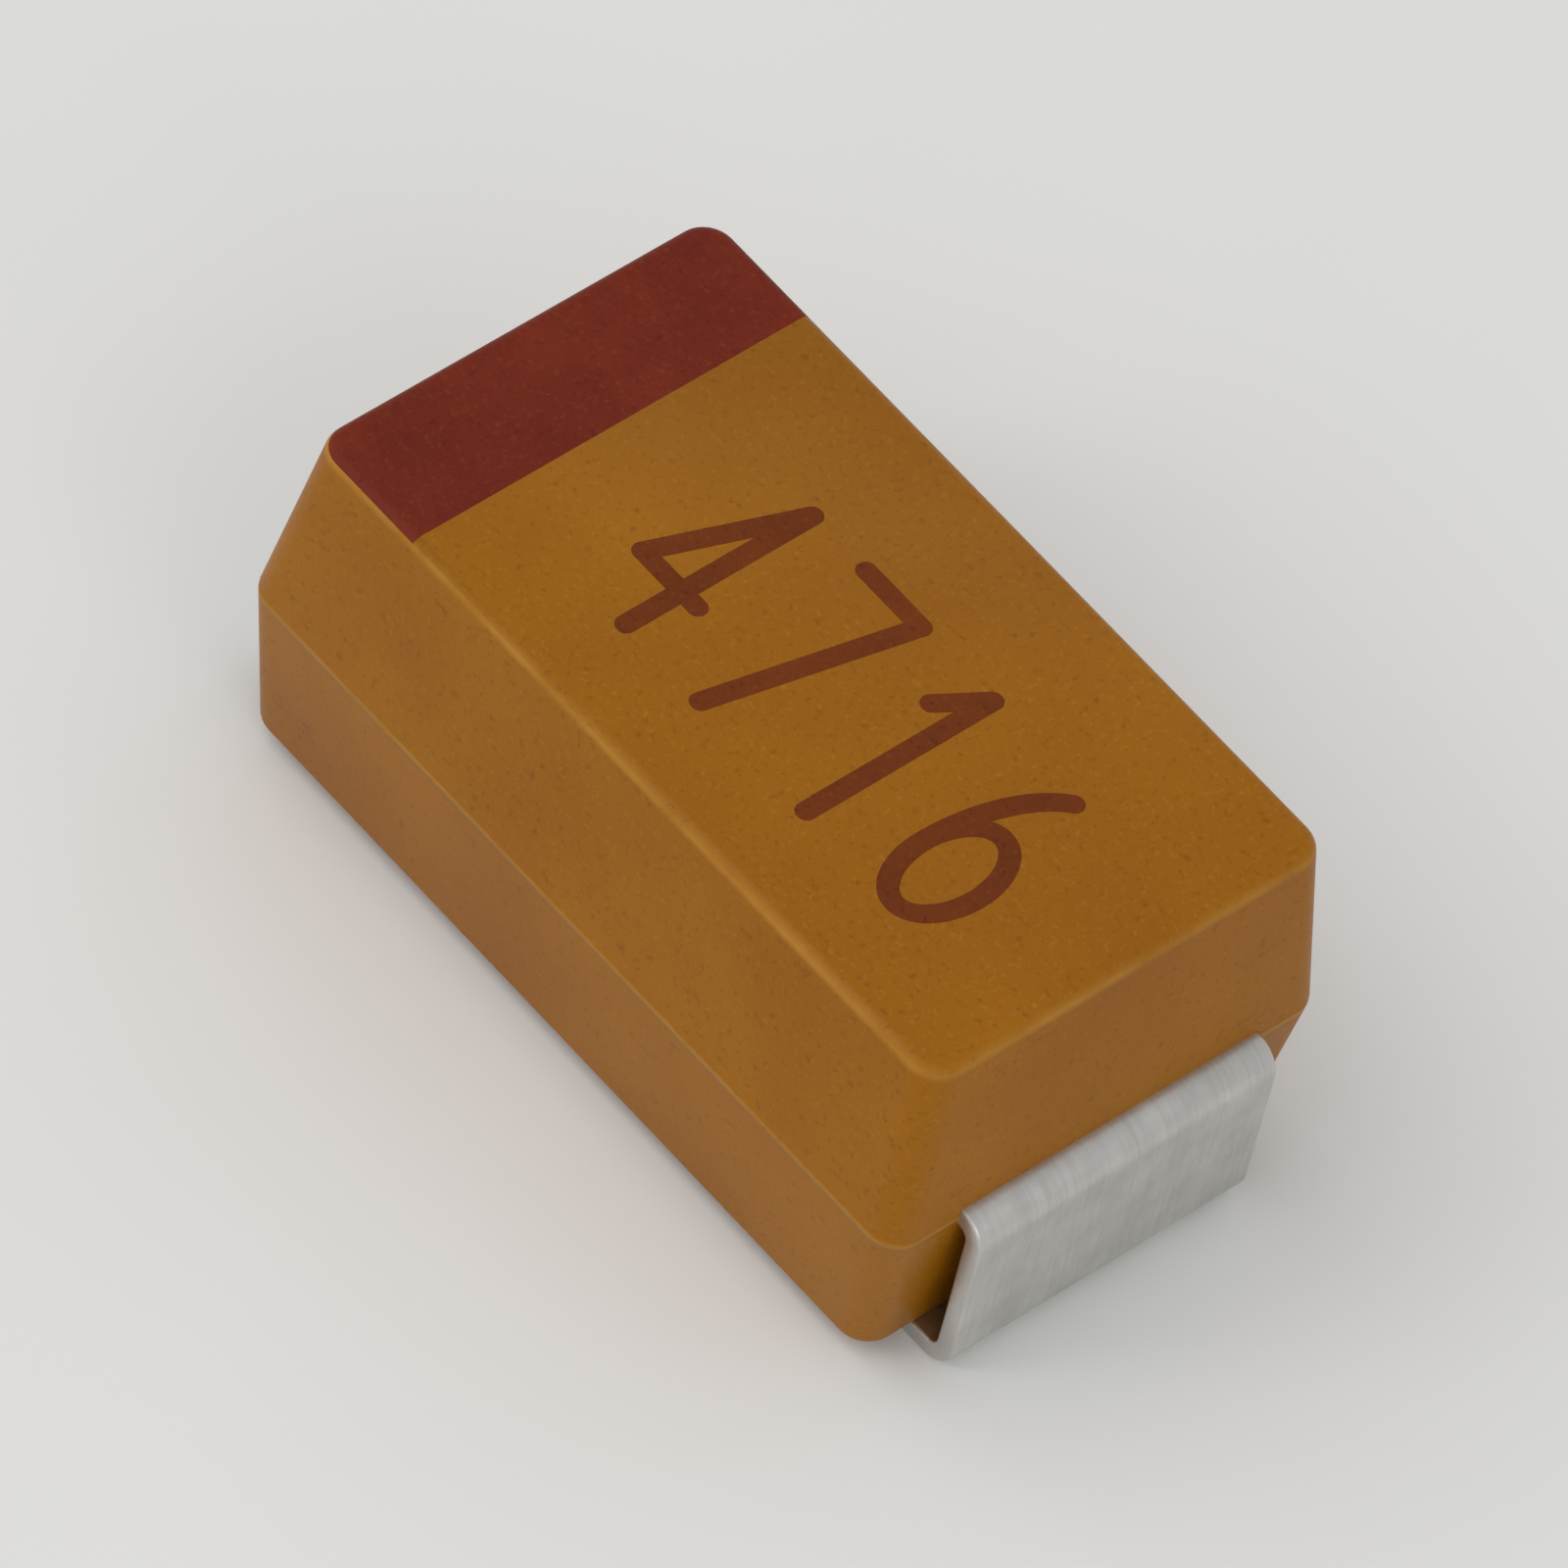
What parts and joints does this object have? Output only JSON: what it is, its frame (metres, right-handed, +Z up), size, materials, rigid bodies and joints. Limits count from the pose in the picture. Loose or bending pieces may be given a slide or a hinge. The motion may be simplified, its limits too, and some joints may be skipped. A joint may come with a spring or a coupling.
{
  "type": "tantalum capacitor",
  "caption": "Moulded surface-mount tantalum chip capacitor with a banded anode end and folded sheet terminals.",
  "frame": {"origin": "centre of the package's footprint, on the board plane that the terminal feet rest on", "axes": "+X along the case from the banded anode end to the cathode end, +Y across the case, +Z up through the marked top"},
  "size_m": [0.006, 0.0032, 0.0026],
  "materials": {
    "moulded_epoxy": "satin moulded epoxy",
    "band_ink": "marked band, satin",
    "tinned_sheet": "satin tin plate",
    "tantalum_wire": "drawn wire",
    "washer_plastic": "smooth fluoropolymer",
    "sintered_tantalum": "porous sinter",
    "manganese_dioxide": "matt deposit",
    "graphite": "matt coat",
    "silver_paint": "matt silver coat",
    "silver_adhesive": "cured silver epoxy"
  },
  "bodies": {
    "root": {"case": "moulded_epoxy", "polarity_band": "band_ink", "anode_terminal": "tinned_sheet", "cathode_terminal": "tinned_sheet", "anode_wire": "tantalum_wire", "insulating_washer": "washer_plastic", "tantalum_pellet": "sintered_tantalum", "manganese_dioxide_coat": "manganese_dioxide", "graphite_coat": "graphite", "silver_coat": "silver_paint", "silver_adhesive": "silver_adhesive"}
  },
  "joints": []
}
